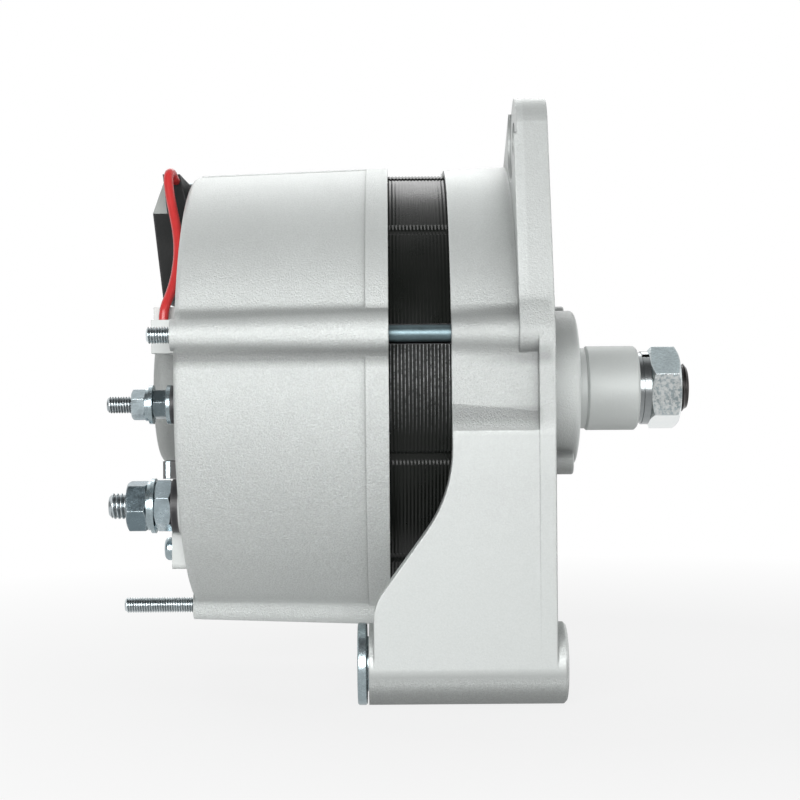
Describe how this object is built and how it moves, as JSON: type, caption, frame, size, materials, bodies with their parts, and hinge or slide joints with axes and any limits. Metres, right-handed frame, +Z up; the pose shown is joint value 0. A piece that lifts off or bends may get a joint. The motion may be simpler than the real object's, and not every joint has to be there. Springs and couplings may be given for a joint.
{
  "type": "alternator",
  "caption": "Claw-pole alternator with cast housings, a tensioning ear, a pivot foot with a sliding bush, rear terminals, an outside regulator, and a spacer and nut on its shaft.",
  "frame": {"origin": "on the shaft axis, at the shoulder where a pulley or the spacer sleeve seats", "axes": "+X along the shaft towards the pulley end, +Z up towards the ear, -Y towards the terminals' side"},
  "size_m": [0.1849, 0.1523, 0.1818],
  "materials": {
    "cast_aluminium": "blasted casting",
    "zinc_steel": "zinc plated",
    "dark_steel": "turned",
    "satin_steel": "satin turned",
    "bearing_steel": "ground",
    "black_lamination": "black enamel over steel edges",
    "enamelled_copper": "enamelled wire",
    "bare_copper": "turned copper",
    "black_plastic": "moulded",
    "white_plastic": "moulded",
    "natural_plastic": "moulded",
    "carbon": "pressed carbon",
    "red_cable": "extruded"
  },
  "bodies": {
    "housing": {"front_housing": "cast_aluminium", "rear_housing": "cast_aluminium", "stator_core": "black_lamination", "stator_windings": "enamelled_copper", "through_bolts": "zinc_steel", "long_through_bolt": "zinc_steel", "front_bearing_outer_ring": "bearing_steel", "front_bearing_shields": "satin_steel", "rear_bearing_outer_ring": "bearing_steel", "rear_bearing_shields": "satin_steel", "bearing_retainer": "zinc_steel", "retainer_screws": "zinc_steel", "brush_spring_rear": "zinc_steel", "brush_spring_front": "zinc_steel", "brush_holder": "black_plastic", "regulator": "black_plastic", "regulator_screws": "zinc_steel", "negative_heat_sink": "satin_steel", "positive_heat_sink": "satin_steel", "negative_diodes": "zinc_steel", "positive_diodes": "zinc_steel", "exciter_diodes": "black_plastic", "heat_sink_screws": "zinc_steel", "b_stud": "zinc_steel", "b_nuts": "zinc_steel", "b_washers": "zinc_steel", "b_insulator": "black_plastic", "b_seat_washer": "white_plastic", "d_stud": "zinc_steel", "d_nuts": "zinc_steel", "d_washers": "zinc_steel", "d_insulator": "black_plastic", "w_terminal_insulator": "black_plastic", "w_terminal_blade": "zinc_steel", "terminal_cover": "white_plastic", "terminal_cover_screw": "zinc_steel", "lead_plug": "white_plastic", "red_lead": "red_cable"},
    "rotor": {"shaft": "dark_steel", "collar": "satin_steel", "spacer_sleeve": "satin_steel", "plain_washer": "zinc_steel", "spring_washer": "dark_steel", "pulley_nut": "zinc_steel", "front_bearing_inner_ring": "bearing_steel", "front_bearing_balls": "bearing_steel", "rear_bearing_inner_ring": "bearing_steel", "rear_bearing_balls": "bearing_steel", "front_pole_wheel": "dark_steel", "rear_pole_wheel": "dark_steel", "rotor_core": "dark_steel", "coil_bobbin": "natural_plastic", "field_coil": "enamelled_copper", "slip_ring_rear": "bare_copper", "slip_ring_front": "bare_copper", "slip_ring_sleeve": "black_plastic"},
    "bush": {"foot_bush": "zinc_steel"},
    "brush_rear": {"brush_rear": "carbon"},
    "brush_front": {"brush_front": "carbon"}
  },
  "joints": [
    {"name": "rotor_spin", "type": "hinge", "parent": "housing", "child": "rotor", "pos_m": [0, 0, 0], "axis": [1, 0, 0], "continuous": true},
    {"name": "bush_slide", "type": "slide", "parent": "housing", "child": "bush", "axis": [1, 0, 0], "range_m": [-0.003, 0.0005]},
    {"name": "brush_rear_slide", "type": "slide", "parent": "housing", "child": "brush_rear", "axis": [0, 0, 1], "range_m": [0, 0.004], "stiffness_N_per_m": 400, "springref_m": -0.008, "deforming": ["brush_spring_rear"]},
    {"name": "brush_front_slide", "type": "slide", "parent": "housing", "child": "brush_front", "axis": [0, 0, 1], "range_m": [0, 0.004], "stiffness_N_per_m": 400, "springref_m": -0.008, "deforming": ["brush_spring_front"]}
  ]
}
